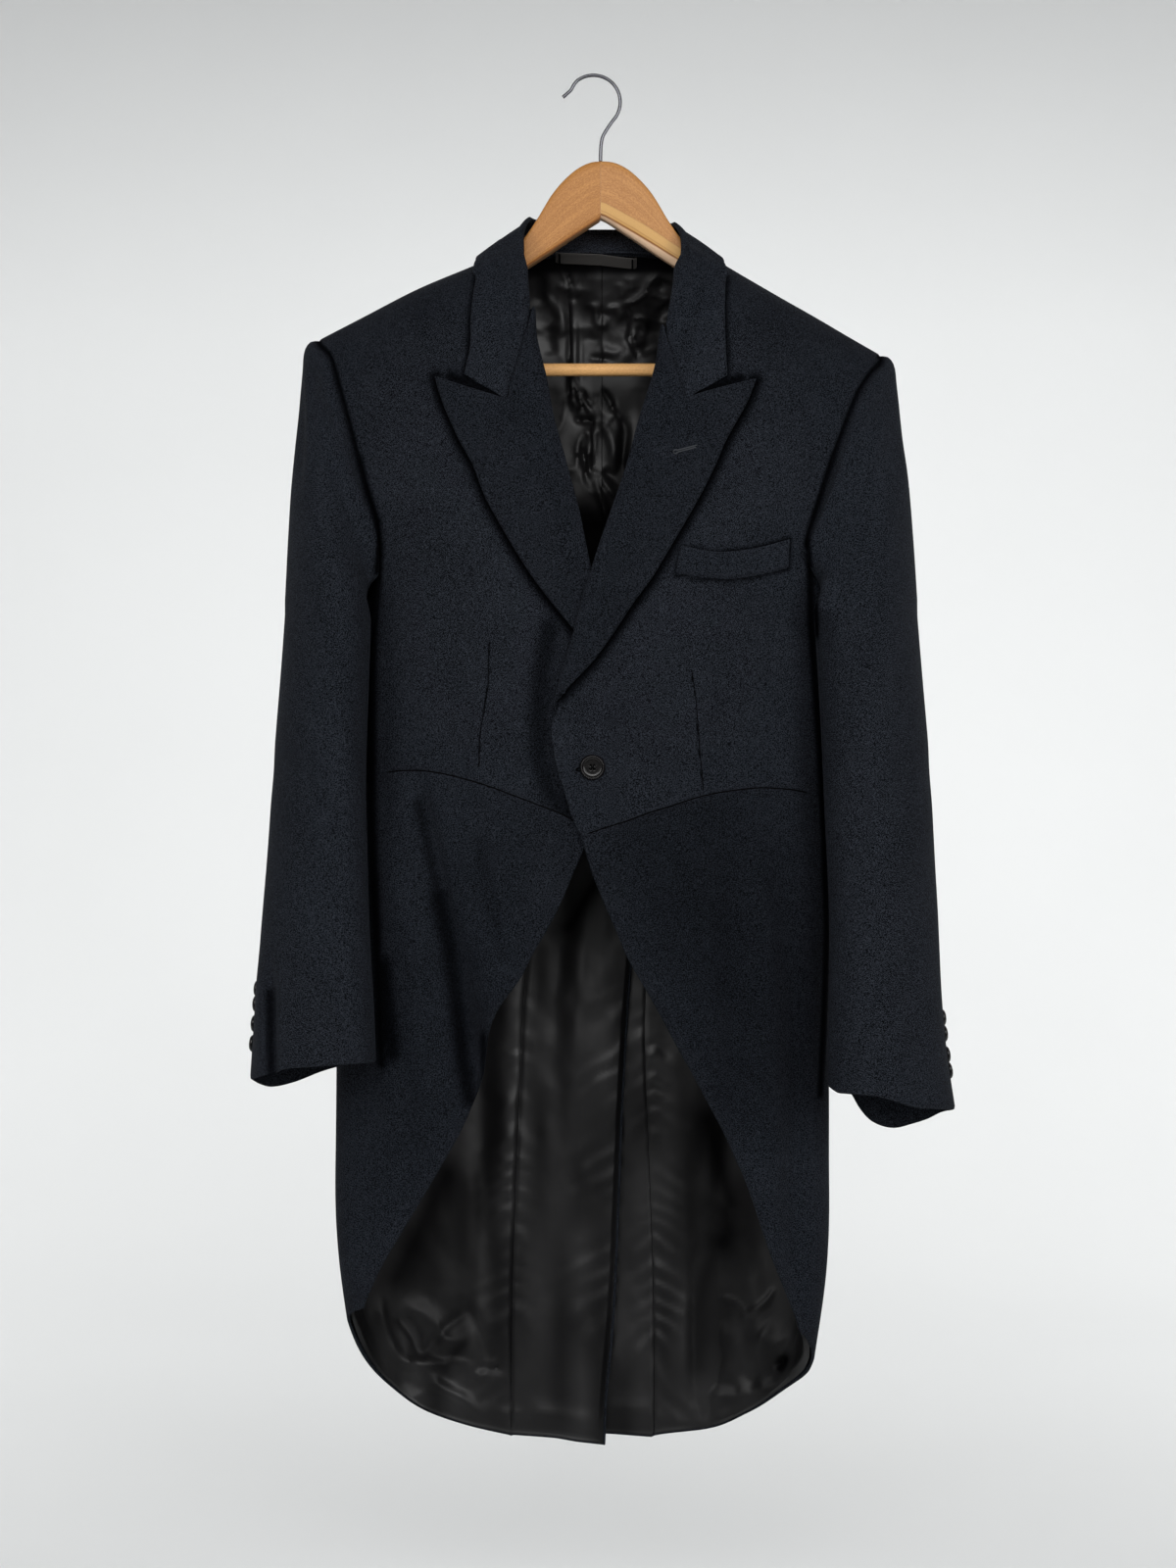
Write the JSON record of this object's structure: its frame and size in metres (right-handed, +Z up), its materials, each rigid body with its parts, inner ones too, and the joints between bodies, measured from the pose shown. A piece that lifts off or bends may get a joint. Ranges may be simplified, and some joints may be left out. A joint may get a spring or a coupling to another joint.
{
  "type": "morning coat on a hanger",
  "caption": "Black cutaway morning coat with peak lapels, one front button and satin lining, hung open-necked on a mitred wooden hanger with a trouser bar and a wire hook.",
  "frame": {"origin": "inside top of the hook, where the hanger rests on a rail or peg", "axes": "+Z up, -Y to the front of the coat, +X to the wearer's left"},
  "size_m": [0.5574, 0.1762, 1.1323],
  "materials": {
    "wool": "fine twill, matt",
    "satin": "satin weave, glossy",
    "tape": "woven tape",
    "horn": "polished",
    "wood": "clear satin varnish",
    "steel": "drawn wire, bright"
  },
  "bodies": {
    "root": {"back_left": "wool", "back_right": "wool", "breast_welt": "wool", "collar": "wool", "cuff_button_left_1": "horn", "cuff_button_left_2": "horn", "cuff_button_left_3": "horn", "cuff_button_left_4": "horn", "cuff_button_right_1": "horn", "cuff_button_right_2": "horn", "cuff_button_right_3": "horn", "cuff_button_right_4": "horn", "forepart_left": "wool", "forepart_right": "wool", "front_button": "horn", "hang_loop": "tape", "hanger_hook": "steel", "hanger_left": "wood", "hanger_right": "wood", "lapel_left": "wool", "lapel_right": "wool", "lining_back_left": "satin", "lining_back_right": "satin", "lining_skirt_left": "satin", "lining_skirt_right": "satin", "side_body_left": "wool", "side_body_right": "wool", "skirt_left": "wool", "skirt_right": "wool", "top_sleeve_left": "wool", "top_sleeve_right": "wool", "trouser_bar": "wood", "under_sleeve_left": "wool", "under_sleeve_right": "wool", "waist_button_left": "horn", "waist_button_right": "horn"}
  },
  "joints": []
}
